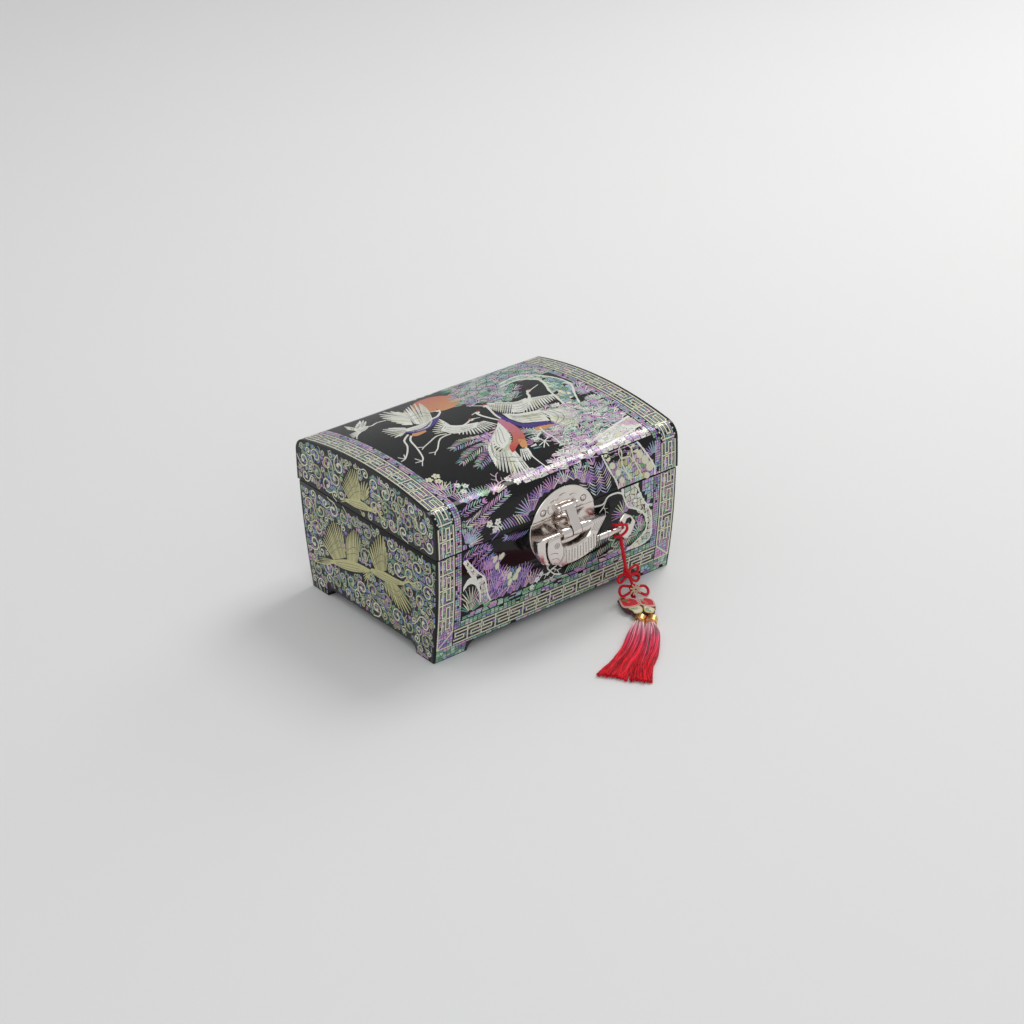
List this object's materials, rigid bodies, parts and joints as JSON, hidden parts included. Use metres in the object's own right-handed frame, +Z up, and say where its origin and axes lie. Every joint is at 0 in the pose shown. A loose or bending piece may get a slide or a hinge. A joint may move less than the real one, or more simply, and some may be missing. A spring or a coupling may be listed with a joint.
{
  "type": "jewellery box",
  "caption": "Lacquered jewellery box with shell inlay, a hinged arched lid, a lift-out tray, a fish padlock with its key, and a corded tassel ornament.",
  "frame": {"origin": "on the table, under the middle of the case with its hinges and its padlock", "axes": "+X along the front towards the key, -Y out of the front face, +Z up"},
  "size_m": [0.2416, 0.3097, 0.1408],
  "materials": {
    "lacquered_wood": "gloss black lacquer with shell inlay",
    "velvet_lining": "short velvet over card and wood",
    "padded_velvet": "padded velvet",
    "ribbon": "satin ribbon",
    "mirror": "silvered glass",
    "gilt_frame": "satin gilt",
    "polished_nickel": "warm polished nickel",
    "spring_steel": "spring steel",
    "red_cord": "braided silk cord",
    "cream_thread": "silk thread",
    "maroon_cloth": "dark silk",
    "embroidered_cloth": "embroidered silk",
    "gold_cap": "satin gilt",
    "red_bead": "glossy bead on red cord",
    "tassel_thread": "silk thread, pale at the top"
  },
  "bodies": {
    "base": {"front_board": "lacquered_wood", "back_board": "lacquered_wood", "left_end_board": "lacquered_wood", "right_end_board": "lacquered_wood", "bottom_board": "lacquered_wood", "body_lining": "velvet_lining", "floor_pad": "padded_velvet", "tray_ledges": "velvet_lining", "hinge_body_leaves": "polished_nickel", "hinge_body_screws": "polished_nickel", "hinge_pins": "polished_nickel", "lower_lock_plate": "polished_nickel", "lower_plate_nails": "polished_nickel", "lock_staples": "polished_nickel", "fish_lock_body": "polished_nickel"},
    "lid": {"lid_left_end": "lacquered_wood", "lid_right_end": "lacquered_wood", "lid_front_rail": "lacquered_wood", "lid_back_rail": "lacquered_wood", "lid_top_panel": "lacquered_wood", "lid_lining": "velvet_lining", "mirror_glass": "mirror", "mirror_frame": "gilt_frame", "hinge_lid_leaves": "polished_nickel", "hinge_lid_screws": "polished_nickel", "upper_lock_plate": "polished_nickel", "upper_plate_nails": "polished_nickel", "hasp_boss": "polished_nickel", "hasp_pin": "polished_nickel"},
    "hasp": {"hasp": "polished_nickel"},
    "shackle": {"lock_shackle": "polished_nickel", "lock_springs": "spring_steel"},
    "key": {"key_stem": "polished_nickel", "key_collar": "polished_nickel", "key_bow": "polished_nickel", "cord_loop": "red_cord", "tassel_cord": "red_cord", "upper_knot": "red_cord", "lower_knot": "red_cord", "knot_flower": "cream_thread", "charm_knot": "red_cord", "charm_base": "maroon_cloth", "charm_wings": "embroidered_cloth", "tassel_bead": "red_bead", "left_tassel_cap": "gold_cap", "right_tassel_cap": "gold_cap", "left_tassel": "tassel_thread", "right_tassel": "tassel_thread"},
    "tray": {"tray_box": "velvet_lining", "tray_dividers": "velvet_lining", "ring_rolls": "padded_velvet", "tray_pads": "padded_velvet", "tray_tabs": "ribbon"}
  },
  "joints": [
    {"name": "lid_hinge", "type": "hinge", "parent": "base", "child": "lid", "pos_m": [0, 0.10085, 0.09375], "axis": [-1, 0, 0], "range_deg": [0, 95]},
    {"name": "hasp_swing", "type": "hinge", "parent": "lid", "child": "hasp", "pos_m": [0.0008, -0.09195, 0.1015], "axis": [-1, 0, 0], "range_deg": [0, 110]},
    {"name": "shackle_slide", "type": "slide", "parent": "base", "child": "shackle", "axis": [1, 0, 0], "range_m": [0, 0.0123]},
    {"name": "key_slide", "type": "slide", "parent": "base", "child": "key", "axis": [1, 0, 0], "range_m": [0, 0.038]},
    {"name": "tray_lift", "type": "slide", "parent": "base", "child": "tray", "axis": [0, 0, 1], "range_m": [0, 0.017]}
  ]
}
